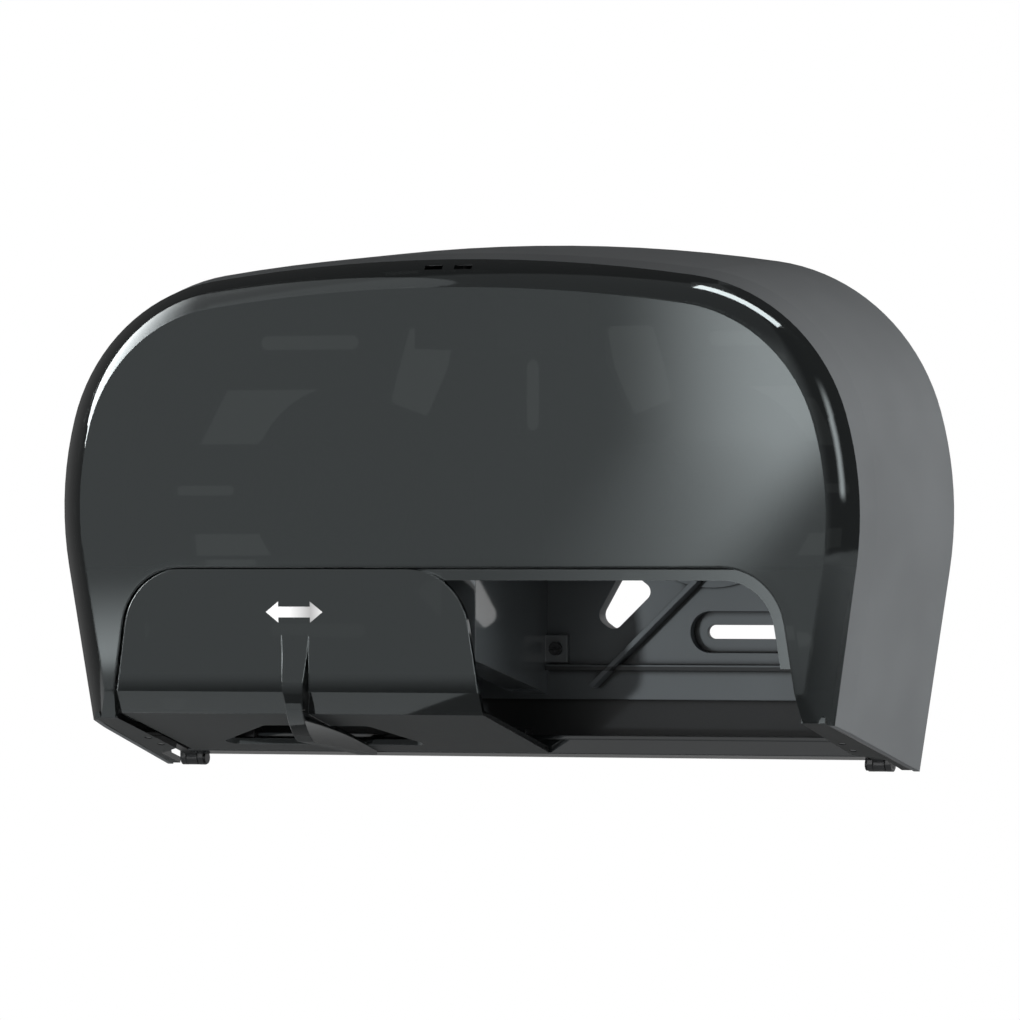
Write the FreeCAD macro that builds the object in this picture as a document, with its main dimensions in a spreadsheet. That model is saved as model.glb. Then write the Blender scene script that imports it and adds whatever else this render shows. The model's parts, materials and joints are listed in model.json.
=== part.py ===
"""Twin-roll bath tissue dispenser for a wall: back plate, roll hubs, lock, smoked cover and sliding door.

Millimetres. +X is right, +Y points into the wall and +Z is up. The origin lies on the wall plane, at the
centre of the four mounting slots, level with the two roll spindles.
"""
import FreeCAD, Part
import math
import os
import re

from FreeCAD import Placement, Rotation, Vector

# Driving sizes, grouped by the piece that carries them; one that starts with = follows from the others
SIZES = {
    # general fits and cuts
    "clearance": 0.3,
    "running_clearance": 0.05,
    "screw_clearance": 0.1,
    "overrun": 30.0,
    # outline of the cover on the wall, a chain of tangent arcs
    "outline_half_width": 224.6,
    "outline_widest_z": -13.0,
    "outline_top": 123.0,
    "outline_bottom": -143.0,
    "side_radius": 185.0,
    "corner_radius": 106.0,
    "crown_radius": 900.0,
    "side_lean": 9.0,
    # cover frame
    "wall_gap": 1.0,
    "edge_depth": 111.0,
    "front_tilt": 2.2,
    "lip_depth": 17.0,
    "lip_inset": 7.7,
    "edge_inset": 10.6,
    "frame_wall": 3.0,
    "underside_angle": 13.2,
    # smoked window
    "band_width": 13.8,
    "band_depth": 11.0,
    "window_skin": 3.0,
    "tongue_depth": 8.0,
    "tongue_wall": 2.4,
    "leg_floor_z": -100.0,
    "bevel_top_z": -103.0,
    "bevel_depth": 112.0,
    "floor_thickness": 3.0,
    "floor_inner_gap": 1.6,
    "floor_inner_x": "=mouth_half_width + floor_inner_gap",
    "floor_notch_gap": 9.7,
    "floor_notch_x": "=hinge_x + floor_notch_gap",
    "floor_notch_front": 40.0,
    "floor_notch_back": 27.0,
    "floor_back": 4.0,
    "key_slot_length": 9.5,
    "key_slot_height": 2.0,
    "key_slot_pitch": 15.9,
    "key_slot_drop": 14.6,
    "key_slot_z": "=outline_top - key_slot_drop",
    # mouth of the window and the strip that the door rides on
    "mouth_top_z": -40.4,
    "mouth_inset": 42.2,
    "mouth_half_width": "=outline_half_width - mouth_inset",
    "mouth_width_z": -100.0,
    "mouth_lean": 8.5,
    "mouth_corner_radius": 33.0,
    "strip_width": 6.4,
    "strip_end_z": -90.0,
    "strip_thickness": 3.0,
    "strip_overlap": 4.0,
    # sliding door
    "door_skin": 3.0,
    "door_edge_gap": 0.8,
    "door_side_gap": 0.8,
    "door_place_share": 0.453399,
    "door_centre_x": "=-door_place_share * mouth_half_width",
    "door_lean_run": "=(mouth_width_z - bevel_top_z) * tan(mouth_lean * 1 deg)",
    "door_edge_run": "=door_edge_gap / cos(mouth_lean * 1 deg)",
    "door_half_width": "=mouth_half_width + door_lean_run - door_edge_run - door_side_gap + door_centre_x",
    "door_rise": 2.5,
    "door_back": 25.0,
    "door_rib_inset": 16.0,
    "door_rib_thickness": 2.5,
    "door_rib_depth": 12.0,
    "door_rib_top_z": -66.0,
    "door_rib_foot_z": -104.0,
    "finger_front": 85.0,
    "finger_back": 40.0,
    "finger_left_front_share": 0.325,
    "finger_left_back_share": 0.792,
    "finger_right_front_share": 0.254,
    "finger_right_back_share": 0.406,
    "finger_corner_radius": 5.0,
    "grip_width": 9.0,
    "grip_top_z": -74.0,
    "grip_swell": 3.0,
    "grip_swell_z": -92.0,
    "grip_bulge": 4.4,
    "grip_bulge_z": -104.0,
    "grip_low_z": -128.0,
    "grip_low_depth": 106.0,
    "grip_tail_drop": 2.0,
    "flank_top_width": 14.8,
    "flank_root_width": 15.4,
    "flank_foot_z": -112.0,
    "flank_lift": 0.15,
    "upper_glide_length": 24.0,
    "upper_glide_share": 0.974,
    "upper_glide_pitch": "=upper_glide_share * door_half_width",
    "upper_glide_drop": 9.0,
    "upper_glide_lip": 3.5,
    "glide_wall": 2.6,
    "lower_glide_length": 30.0,
    "lower_glide_share": 1.522,
    "lower_glide_pitch": "=lower_glide_share * door_half_width",
    "lower_glide_depth": 11.0,
    "lower_glide_cap": 2.2,
    # lower rail of the cover and its hinges
    "rail_front": 23.0,
    "rail_back": 14.6,
    "rail_height": 9.54,
    "rail_wall": 2.0,
    "rail_lip_reach": 8.0,
    "rail_lip_thickness": 2.0,
    "hinge_depth": 8.0,
    "hinge_z": -139.2,
    "hinge_gap": 5.9,
    "hinge_x": "=mouth_half_width + hinge_gap",
    "knuckle_length": 6.0,
    "knuckle_radius": 3.6,
    "hinge_pin_radius": 2.0,
    "hinge_pin_head": 1.2,
    "ear_thickness": 3.0,
    "arm_front": 74.0,
    "arm_thickness": 3.0,
    "bracket_top_z": -111.0,
    "bracket_base": 3.5,
    "bracket_screw_pitch": 9.0,
    "bracket_screw_drop": 4.5,
    "arm_screw_pitch": 16.0,
    # back plate
    "plate_depth": 9.0,
    "plate_skin": 3.0,
    "plate_gap": 1.5,
    "plate_face_bottom_z": -107.6,
    "plate_web": 3.0,
    "plate_web_bottom_z": -129.0,
    "rim_width": 3.0,
    "slot_pitch_x": 242.0,
    "slot_pitch_z": 146.6,
    "slot_length": 54.4,
    "slot_width": 7.0,
    "well_margin": 7.0,
    "well_depth": 6.0,
    "side_slot_inset": 47.1,
    "side_slot_x": "=outline_half_width - side_slot_inset",
    "side_slot_length": 35.0,
    "side_slot_width": 5.0,
    "mid_slot_z": 46.5,
    "mid_slot_length": 35.0,
    "mid_slot_width": 7.5,
    "mid_well_margin": 5.0,
    "petal_top_z": 80.0,
    "petal_inner_x": 39.0,
    "petal_outer_x": 67.0,
    "petal_knee_z": 60.0,
    "petal_foot_x": 54.5,
    "petal_foot_z": 35.5,
    "petal_toe_x": 77.5,
    "petal_toe_z": 43.3,
    "petal_knee_inner_x": 43.0,
    "petal_knee_outer_x": 73.0,
    "disc_radius": 51.0,
    "disc_height": 1.5,
    "disc_gap": 1.0,
    "upper_window_top_z": 50.0,
    "upper_window_foot_z": 23.0,
    "upper_window_shoulder_inset": 57.6,
    "upper_window_shoulder_x": "=outline_half_width - upper_window_shoulder_inset",
    "upper_window_toe_inset": 42.6,
    "upper_window_toe_x": "=outline_half_width - upper_window_toe_inset",
    "lower_window_top_z": -21.6,
    "lower_window_foot_z": -32.5,
    "lower_window_top_inset": 39.6,
    "lower_window_top_x": "=outline_half_width - lower_window_top_inset",
    "lower_window_foot_inset": 40.6,
    "lower_window_foot_x": "=outline_half_width - lower_window_foot_inset",
    "sliver_top_z": -36.5,
    "sliver_foot_z": -39.5,
    "sliver_start_inset": 72.6,
    "sliver_start_x": "=outline_half_width - sliver_start_inset",
    "tear_top_z": -45.5,
    "tear_left_x": 47.5,
    "tear_peak_x": 58.0,
    "tear_right_x": 67.6,
    "tear_right_z": -52.7,
    "tear_toe_x": 45.5,
    "tear_toe_z": -73.5,
    "tear_heel_x": 35.5,
    "tear_heel_z": -66.3,
    "tear_radius": 5.5,
    "window_corner_radius": 3.0,
    "rib_top_x": 93.0,
    "rib_top_z": -47.0,
    "rib_foot_x": 36.0,
    "rib_foot_z": -100.8,
    "rib_width": 2.5,
    "rib_height": 9.0,
    "bead_z": -91.5,
    "bead_width": 3.0,
    "bead_height": 4.0,
    "bead_inset": 52.6,
    "bead_half_length": "=outline_half_width - bead_inset",
    # roll spindles, hubs and their brakes
    "spindle_share": 0.4394479,
    "spindle_x": "=spindle_share * outline_half_width",
    "spindle_flange_radius": 26.0,
    "spindle_flange_depth": 3.0,
    "spindle_radius": 8.0,
    "spindle_front": 98.0,
    "spindle_bore_radius": 4.0,
    "brake_radius": 15.0,
    "brake_thickness": 2.4,
    "hub_radius": 24.0,
    "hub_flange_radius": 40.0,
    "hub_flange_depth": 3.0,
    "hub_wall": 3.0,
    "hub_web": 3.0,
    "hub_sleeve_radius": 11.0,
    "hub_fin_count": 6,
    "hub_fin_height": 3.0,
    "hub_fin_width": 3.0,
    "hub_fin_front_gap": 12.0,
    "cap_radius": 14.0,
    "cap_depth": 4.0,
    "cap_stem": 8.0,
    "spindle_screw_ring": 19.0,
    "spindle_screw_count": 3,
    # divider between the two rolls
    "divider_half_width": 9.0,
    "divider_wall": 2.4,
    "divider_front": 105.0,
    "divider_top_z": 20.0,
    "divider_top_drop": 10.0,
    "divider_front_z": -87.0,
    "divider_back_z": -105.0,
    "divider_tab_width": 12.0,
    "divider_tab_height": 14.0,
    "divider_tab_thickness": 3.0,
    "divider_tab_upper_z": 6.0,
    "divider_tab_lower_z": -82.0,
    # lock above the divider
    "lock_half_width": 22.0,
    "lock_drop": 30.0,
    "lock_top_z": "=outline_top - lock_drop",
    "lock_height": 25.0,
    "lock_bottom_z": "=lock_top_z - lock_height",
    "lock_front": 107.0,
    "lock_wall": 2.4,
    "lock_pocket_back": 88.0,
    "lock_tab_reach": 12.0,
    "lock_tab_thickness": 3.0,
    "latch_half_width": 13.0,
    "latch_back": 99.0,
    "latch_front": 104.0,
    "latch_rise": 1.5,
    "latch_top_z": "=lock_top_z + latch_rise",
    "latch_height": 15.5,
    "latch_bottom_z": "=latch_top_z - latch_height",
    "latch_nose_half_width": 4.0,
    "latch_finger_width": 5.0,
    "latch_finger_rise": 2.5,
    "latch_finger_top_z": "=latch_top_z + latch_finger_rise",
    "spring_wire": 0.9,
    "catch_half_width": 4.0,
    "catch_thickness": 3.0,
    "catch_gap": 6.5,
    "catch_foot_z": "=latch_top_z + catch_gap",
    "catch_base_length": 26.0,
    "catch_base_half_width": 20.0,
    "catch_base_thickness": 3.0,
    # screws, all of one kind
    "screw_radius": 1.75,
    "screw_length": 8.0,
    "screw_head_radius": 3.4,
    "screw_head_height": 2.2,
    "screw_slot_width": 0.9,
    "screw_slot_depth": 1.1,
}

doc = FreeCAD.newDocument("dispenser")
sheet = doc.addObject("Spreadsheet::Sheet", "Sizes")
for row, alias in enumerate(SIZES, start=1):
    sheet.set("A%d" % row, alias)
    sheet.setAlias("B%d" % row, alias)
for alias, amount in SIZES.items():
    sheet.set(alias, str(amount))
doc.recompute()
size = sheet
sub_parts = []


def formula(text):
    """The text of an expression with each size named as a cell of the sheet."""

    def cell(word):
        return "Sizes." + word.group(0) if word.group(0) in SIZES else word.group(0)

    return re.sub(r"[a-z]\w*", cell, text)


def bind(feature, prop, text):
    feature.setExpression(prop, formula(text))


def tan(degrees):
    return math.tan(math.radians(degrees))


def cos(degrees):
    return math.cos(math.radians(degrees))


def sin(degrees):
    return math.sin(math.radians(degrees))


def new_body(label):
    body = doc.addObject("PartDesign::Body", label)
    body.Label = label
    sub_parts.append(body)
    return body


def sketch_on(body, name, role, geometry, lift="0", place=None):
    """A sketch on one of the body's own planes, lifted by an expression or set at a placement there."""
    sketch = body.newObject("Sketcher::SketchObject", name)
    plane = next(item for item in body.Origin.OriginFeatures if item.Role == role)
    sketch.AttachmentSupport = (plane, [""])
    sketch.MapMode = "FlatFace"
    if place is None:
        bind(sketch, "AttachmentOffset.Base.z", lift)
    else:
        sketch.AttachmentOffset = place
    sketch.addGeometry(geometry, False)
    return sketch


def pad(body, sketch, length, reverse=False, middle=False):
    feature = body.newObject("PartDesign::Pad", sketch.Name + "Pad")
    feature.Profile = sketch
    feature.SideType = "Symmetric" if middle else "One side"
    feature.Reversed = reverse
    bind(feature, "Length", length)
    return feature


def pocket(body, sketch, length=None, reverse=False, middle=False):
    """A cut, through everything unless a length is given, that must take something away."""
    doc.recompute()
    before = body.Shape.Volume
    feature = body.newObject("PartDesign::Pocket", sketch.Name + "Pocket")
    feature.Profile = sketch
    feature.SideType = "Symmetric" if middle else "One side"
    feature.Reversed = reverse
    if length is None:
        feature.Type = "ThroughAll"
    else:
        bind(feature, "Length", length)
    doc.recompute()
    if not body.Shape.Volume < before:
        raise ValueError("%s cuts nothing from %s" % (sketch.Name, body.Label))
    return feature


def loft(body, kind, sketches):
    feature = body.newObject("PartDesign::" + kind, sketches[0].Name + kind)
    feature.Profile = sketches[0]
    feature.Sections = [(sketch, [""]) for sketch in sketches[1:]]
    feature.Ruled = True
    return feature


def revolve(body, sketch):
    """The sketch, drawn with its own y axis on the axle, turned once round that axis."""
    feature = body.newObject("PartDesign::Revolution", sketch.Name + "Turned")
    feature.Profile = sketch
    feature.ReferenceAxis = (sketch, ["V_Axis"])
    return feature


def flat(point):
    return Vector(point[0], point[1], 0)


def line(start, end):
    return Part.LineSegment(flat(start), flat(end))


def arc(start, middle, end):
    return Part.Arc(flat(start), flat(middle), flat(end))


def polygon(points):
    return [line(start, end) for start, end in zip(points, points[1:] + points[:1])]


def rectangle(x_low, x_high, y_low, y_high):
    return polygon([(x_low, y_low), (x_high, y_low), (x_high, y_high), (x_low, y_high)])


def circle(centre, radius):
    return [Part.Circle(flat(centre), Vector(0, 0, 1), radius)]


def mirrored(points):
    """The same points on the other side of x = 0, in the order that keeps the loop closed."""
    return [(-x, y) for x, y in reversed(points)]


def rounded(points, radius):
    """A closed loop through the points with each corner rounded, by less where a side is too short."""
    edges = []
    stops = []
    side_share = 0.45
    for before, here, after in zip(points[-1:] + points[:-1], points, points[1:] + points[:1]):
        corner = flat(here)
        back = flat(before) - corner
        ahead = flat(after) - corner
        half = back.getAngle(ahead) / 2
        reach = min(radius / math.tan(half), side_share * min(back.Length, ahead.Length))
        back.normalize()
        ahead.normalize()
        to_middle = back + ahead
        to_middle.normalize()
        bulge = reach / math.cos(half) - reach * math.tan(half)
        stops.append((corner + back * reach, corner + to_middle * bulge, corner + ahead * reach))
    for stop, following in zip(stops, stops[1:] + stops[:1]):
        edges.append(Part.Arc(*stop))
        edges.append(Part.LineSegment(stop[2], following[0]))
    return edges


def obround(centre, length, width, upright=False):
    """A slot with round ends, along x or, if upright, along y."""
    radius = width / 2
    reach = length / 2 - radius

    def at(along, across):
        offset = (across, along) if upright else (along, across)
        return (centre[0] + offset[0], centre[1] + offset[1])

    return [
        line(at(-reach, -radius), at(reach, -radius)),
        arc(at(reach, -radius), at(reach + radius, 0), at(reach, radius)),
        line(at(reach, radius), at(-reach, radius)),
        arc(at(-reach, radius), at(-reach - radius, 0), at(-reach, -radius)),
    ]


# Outlines and planes that several pieces share

def corner_centre():
    """Centre of the corner arc, which runs inside both the side arc and the crown arc."""
    side = Vector(size.outline_half_width - size.side_radius, size.outline_widest_z, 0)
    crown = Vector(0, size.outline_top - size.crown_radius, 0)
    to_side = size.side_radius - size.corner_radius
    to_crown = size.crown_radius - size.corner_radius
    span = crown - side
    along = (to_side**2 - to_crown**2 + span.Length**2) / (2 * span.Length)
    across = math.sqrt(to_side**2 - along**2)
    span.normalize()
    return side, crown, side + span * along + Vector(-span.y, span.x, 0) * across


def side_x(z, inset):
    """Half width of the cover's outline on its straight flank."""
    low = size.outline_half_width - size.side_radius + size.side_radius * cos(size.side_lean)
    low_z = size.outline_widest_z - size.side_radius * sin(size.side_lean)
    return low - (low_z - z) * tan(size.side_lean) - inset / cos(size.side_lean)


def cover_outline(inset, bottom):
    """Closed front view of the cover, drawn in by an inset and closed by a straight line at the bottom."""
    side, crown, corner = corner_centre()
    lean = Vector(cos(size.side_lean), -sin(size.side_lean), 0)
    shoulder = corner - side
    shoulder.normalize()
    brow = corner - crown
    brow.normalize()
    low = side + lean * (size.side_radius - inset)
    flank = side + Vector(1, 0, 0) * (size.side_radius - inset)
    start = side + shoulder * (size.side_radius - inset)
    bend = shoulder + brow
    bend.normalize()
    bent = corner + bend * (size.corner_radius - inset)
    end = crown + brow * (size.crown_radius - inset)
    top = crown + Vector(0, size.crown_radius - inset, 0)
    foot = Vector(side_x(bottom, inset), bottom, 0)

    def left(point):
        return Vector(-point.x, point.y, 0)

    return [
        Part.LineSegment(foot, low),
        Part.Arc(low, flank, start),
        Part.Arc(start, bent, end),
        Part.Arc(end, top, left(end)),
        Part.Arc(left(end), left(bent), left(start)),
        Part.Arc(left(start), left(flank), left(low)),
        Part.LineSegment(left(low), left(foot)),
        Part.LineSegment(left(foot), foot),
    ]


def front_plane(forward):
    """Placement of a plane that leans with the front, some way forward of the frame's front edge."""
    lean = Placement(Vector(0, 0, size.edge_depth), Rotation(Vector(1, 0, 0), size.front_tilt))
    return lean * Placement(Vector(0, 0, forward), Rotation())


def front_y(z, behind):
    """Y of a plane that lies some depth behind the outer face of the front, at a height."""
    forward = size.band_depth - behind
    return -(size.edge_depth + forward / cos(size.front_tilt) + z * tan(size.front_tilt))


def underside_z(depth, rise):
    """Height of the cover's underside, or of a plane some rise above it, at a depth in front of the wall."""
    return size.outline_bottom + depth * tan(size.underside_angle) + rise / cos(size.underside_angle)


def underside_plane():
    """Placement in the XY plane of the cover's underside, through the foot of the wall outline."""
    return Placement(Vector(0, 0, size.outline_bottom), Rotation(Vector(1, 0, 0), -size.underside_angle))


def screw_holes(places):
    """Clearance holes for screws at points of a sketch."""
    holes = []
    for point in places:
        holes += circle(point, size.screw_radius + size.screw_clearance)
    return holes


def arm_screw_places():
    """Distances along the underside from the wall to the screws that hold a hinge arm."""
    slope = cos(size.underside_angle)
    middle = (size.arm_front + size.floor_notch_front) / (2 * slope)
    return [middle - size.arm_screw_pitch / 2, middle + size.arm_screw_pitch / 2]


def mouth_x(z, inset):
    half = size.mouth_half_width - inset / cos(size.mouth_lean)
    return half + (size.mouth_width_z - z) * tan(size.mouth_lean)


def mouth_outline(inset, bottom, centre=0, narrower=0):
    """Arch of the mouth, drawn in by an inset, about a centre line and closed by a line at the bottom."""
    top = size.mouth_top_z - inset
    radius = size.mouth_corner_radius - inset
    arc_z = top - radius
    arc_x = mouth_x(arc_z, inset) - narrower - radius / cos(size.mouth_lean)
    turn = (90 + size.mouth_lean) / 2

    def at(sign, angle):
        return (centre + sign * (arc_x + radius * cos(angle)), arc_z + radius * sin(angle))

    foot = mouth_x(bottom, inset) - narrower
    lean = size.mouth_lean
    return [
        line((centre + foot, bottom), at(1, lean)),
        arc(at(1, lean), at(1, turn), at(1, 90)),
        line(at(1, 90), at(-1, 90)),
        arc(at(-1, 90), at(-1, turn), at(-1, lean)),
        line(at(-1, lean), (centre - foot, bottom)),
        line((centre - foot, bottom), (centre + foot, bottom)),
    ]


def below_underside(front):
    """Side view of everything below the cover's underside, as far forward as stated."""
    back = -size.overrun
    low = size.outline_bottom - 2 * size.overrun
    return polygon([
        (-back, underside_z(back, 0)),
        (-front, underside_z(front, 0)),
        (-front, low),
        (-back, low),
    ])


# Cover: frame, smoked window and lower rail

def make_cover_frame():
    body = new_body("cover_frame")
    low = size.outline_bottom - size.overrun
    edge = size.edge_inset
    stages = [(0, None), (size.lip_inset, -size.lip_depth), (edge, 0)]
    for kind, extra in (("AdditiveLoft", 0), ("SubtractiveLoft", size.frame_wall)):
        sections = []
        for number, (inset, forward) in enumerate(stages):
            name = "Frame%s%d" % (kind[:3], number)
            outline = cover_outline(inset + extra, low - extra)
            if forward is None:
                sections.append(sketch_on(body, name, "XZ_Plane", outline, lift="wall_gap"))
            else:
                sections.append(sketch_on(body, name, "XZ_Plane", outline, place=front_plane(forward)))
        loft(body, kind, sections)
    front = size.edge_depth + size.band_depth + size.overrun
    pocket(body, sketch_on(body, "FrameUnderside", "YZ_Plane", below_underside(front)), middle=True)


def make_cover_window():
    body = new_body("cover_window")
    low = size.outline_bottom
    edge = size.edge_inset
    crease = edge + size.band_width
    tongue = edge + size.frame_wall + size.clearance
    inside = tongue + size.tongue_wall
    deep = size.band_depth - size.window_skin

    # Front block with its bevelled band, and the tongue that enters the frame
    face = front_plane(size.band_depth)
    rear = front_plane(0)
    block = [
        sketch_on(body, "WindowEdge", "XZ_Plane", cover_outline(edge, low), place=rear),
        sketch_on(body, "WindowFace", "XZ_Plane", cover_outline(crease, low), place=face),
    ]
    loft(body, "AdditiveLoft", block)
    ring = sketch_on(body, "WindowTongue", "XZ_Plane", cover_outline(tongue, size.leg_floor_z),
                     place=front_plane(-size.tongue_depth))
    pad(body, ring, "tongue_depth")

    # Hollow behind the skin
    floor_z = size.leg_floor_z
    throat = cover_outline(inside, floor_z - size.overrun)
    pocket(body, sketch_on(body, "WindowThroat", "XZ_Plane", throat, place=rear), "tongue_depth")
    hollow = [
        sketch_on(body, "HollowBack", "XZ_Plane", cover_outline(inside, floor_z), place=rear),
        sketch_on(body, "HollowFront", "XZ_Plane", cover_outline(crease, floor_z), place=front_plane(deep)),
    ]
    loft(body, "SubtractiveLoft", hollow)

    # Strip behind the skin round the mouth, the rebate in front of it and the mouth itself
    strip_back = size.band_depth - size.door_skin - size.clearance - size.strip_thickness
    strip = sketch_on(body, "MouthStrip", "XZ_Plane",
                      mouth_outline(-size.strip_overlap, size.strip_end_z), place=front_plane(strip_back))
    pad(body, strip, "door_skin + clearance + strip_thickness - window_skin")
    rebate = sketch_on(body, "MouthRebate", "XZ_Plane", mouth_outline(0, low), place=face)
    pocket(body, rebate, "door_skin + clearance")
    opening = mouth_outline(size.strip_width, low)
    pocket(body, sketch_on(body, "MouthOpening", "XZ_Plane", opening, place=face))
    reach = mouth_x(low, 0)
    knee = mouth_x(size.strip_end_z, 0)
    legs = polygon([(-reach, low), (reach, low), (knee, size.strip_end_z), (-knee, size.strip_end_z)])
    pocket(body, sketch_on(body, "MouthLegs", "XZ_Plane", legs, place=face))

    # Floor strips that run back along the underside to the wall
    slope = cos(size.underside_angle)
    floor_plane = underside_plane()
    fit = size.frame_wall + size.clearance
    front_z = underside_z(size.edge_depth, 0)
    floor = [
        (size.floor_inner_x, -size.bevel_depth / slope),
        (size.floor_inner_x, -size.floor_notch_front / slope),
        (size.floor_notch_x, -size.floor_notch_back / slope),
        (size.floor_notch_x, -size.floor_back / slope),
        (side_x(size.outline_bottom, fit), -size.floor_back / slope),
        (side_x(front_z, edge + fit), -size.bevel_depth / slope),
    ]
    for name, points in (("FloorRight", floor), ("FloorLeft", mirrored(floor))):
        pad(body, sketch_on(body, name, "XY_Plane", polygon(points), place=floor_plane), "floor_thickness")
    holes = []
    for sign in (-1, 1):
        for along in arm_screw_places():
            holes.append((sign * size.hinge_x, -along))
    holes_sketch = sketch_on(body, "FloorHoles", "XY_Plane", screw_holes(holes), place=floor_plane)
    pocket(body, holes_sketch, reverse=True)

    # Underside with the bevel in front of it
    ahead = size.edge_depth + size.band_depth + size.overrun
    deepest = low - 2 * size.overrun
    bevel = polygon([
        (size.overrun, underside_z(-size.overrun, 0)),
        (-size.bevel_depth, underside_z(size.bevel_depth, 0)),
        (front_y(size.bevel_top_z, 0), size.bevel_top_z),
        (-ahead, size.bevel_top_z),
        (-ahead, deepest),
        (size.overrun, deepest),
    ])
    pocket(body, sketch_on(body, "WindowUnderside", "YZ_Plane", bevel), middle=True)

    # Two key slots in the upper band
    slots = []
    for sign in (-1, 1):
        middle_x = sign * size.key_slot_pitch / 2
        half_length = size.key_slot_length / 2
        half_height = size.key_slot_height / 2
        slots += rectangle(middle_x - half_length, middle_x + half_length,
                           size.key_slot_z - half_height, size.key_slot_z + half_height)
    pocket(body, sketch_on(body, "KeySlots", "XZ_Plane", slots, place=front_plane(size.band_depth)))


def rail_top_z():
    """Height of the lower rail's top, over the plane that the door's floor slides in."""
    return underside_z(size.rail_front, size.door_rise) + size.rail_height


def make_lower_rail():
    """Hollow cross bar at the back of the mouth, with a lip in front that the door's lower glides run on."""
    body = new_body("lower_rail")
    foot_back = underside_z(size.rail_back, size.door_rise)
    foot_front = underside_z(size.rail_front, size.door_rise)
    top = rail_top_z()
    bar = polygon([
        (-size.rail_back, foot_back),
        (-size.rail_back, top),
        (-size.rail_front - size.rail_lip_reach, top),
        (-size.rail_front - size.rail_lip_reach, top - size.rail_lip_thickness),
        (-size.rail_front, top - size.rail_lip_thickness),
        (-size.rail_front, foot_front),
    ])
    pad(body, sketch_on(body, "RailSection", "YZ_Plane", bar),
        "2 * (hinge_x - knuckle_length / 2)", middle=True)
    core = polygon([
        (-size.rail_back - size.rail_wall, foot_back + size.rail_wall),
        (-size.rail_back - size.rail_wall, top - size.rail_wall),
        (-size.rail_front + size.rail_wall, top - size.rail_wall),
        (-size.rail_front + size.rail_wall, foot_front + size.rail_wall),
    ])
    pocket(body, sketch_on(body, "RailCore", "YZ_Plane", core), middle=True)


# Sliding door

def door_section(behind):
    """Side view of the door's sheet at a depth behind its outer face, from its top edge to its back end."""
    rise = size.door_rise + behind
    bevel_run = Vector(-size.bevel_depth - front_y(size.bevel_top_z, 0),
                       underside_z(size.bevel_depth, size.door_rise) - size.bevel_top_z, 0)
    inward = Vector(-bevel_run.y, bevel_run.x, 0)
    inward.normalize()
    start = Vector(front_y(size.bevel_top_z, 0), size.bevel_top_z, 0) + inward * behind

    def on_front(z):
        return Vector(front_y(z, behind), z, 0)

    def on_underside(depth):
        return Vector(-depth, underside_z(depth, rise), 0)

    def crossing(first, second, third, fourth):
        one = second - first
        two = fourth - third
        gap = third - first
        along_share = (gap.x * two.y - gap.y * two.x) / (one.x * two.y - one.y * two.x)
        return first + one * along_share

    top_z = size.mouth_top_z - size.door_edge_gap
    top = on_front(top_z)
    upper = crossing(top, on_front(size.bevel_top_z), start, start + bevel_run)
    lower = crossing(start, start + bevel_run, on_underside(size.bevel_depth), on_underside(size.door_back))
    return [top, upper, lower, on_underside(size.door_back)]


def crossing_y(start, end, z):
    """Place along Y where the line between two points of a side view is at a height."""
    return start.x + (end.x - start.x) * (z - start.y) / (end.y - start.y)


def grip_reach(z):
    """How far the grip's front stands out of the door's face."""
    if z > size.grip_swell_z:
        return size.grip_swell * ((size.grip_top_z - z) / (size.grip_top_z - size.grip_swell_z)) ** 2
    lower = Part.Circle(
        Vector(size.grip_swell, size.grip_swell_z, 0),
        Vector(size.grip_bulge, size.grip_bulge_z, 0),
        Vector(size.grip_low_depth + front_y(size.grip_low_z, 0), size.grip_low_z, 0),
    )
    return lower.Center.x + math.sqrt(lower.Radius ** 2 - (z - lower.Center.y) ** 2)


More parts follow.
